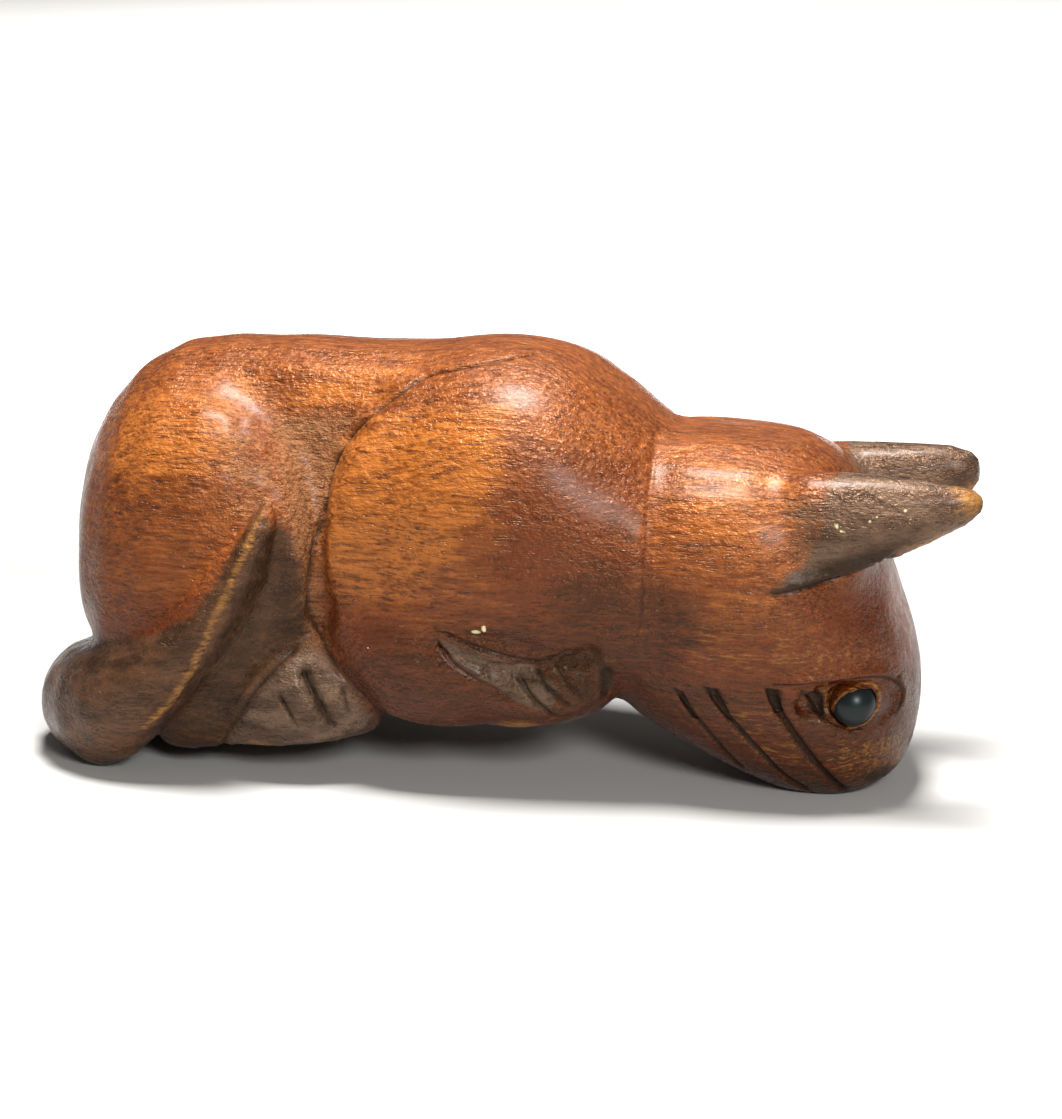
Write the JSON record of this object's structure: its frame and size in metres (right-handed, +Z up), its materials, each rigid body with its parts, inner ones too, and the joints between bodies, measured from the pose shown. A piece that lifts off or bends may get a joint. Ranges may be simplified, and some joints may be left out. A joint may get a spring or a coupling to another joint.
{
  "type": "carved wooden cat sculpture",
  "caption": "Crouching cat carved in dark hardwood, head hanging low beneath forward-pointing ears, tail laid over the haunch, glass bead eyes.",
  "frame": {"origin": "middle of the underside of the bounding box, on the floor the cat rests on with chin and tail", "axes": "+X from the tail to the ears, +Z up, -Y the side that the tail lies on"},
  "size_m": [0.3008, 0.1112, 0.1361],
  "materials": {
    "carved_wood": "satin lacquered hardwood with darker stained ears, tail and paws",
    "eye_glass": "polished dark teal glass"
  },
  "bodies": {
    "root": {"cat_carving": "carved_wood", "right_eye": "eye_glass", "left_eye": "eye_glass"}
  },
  "joints": []
}
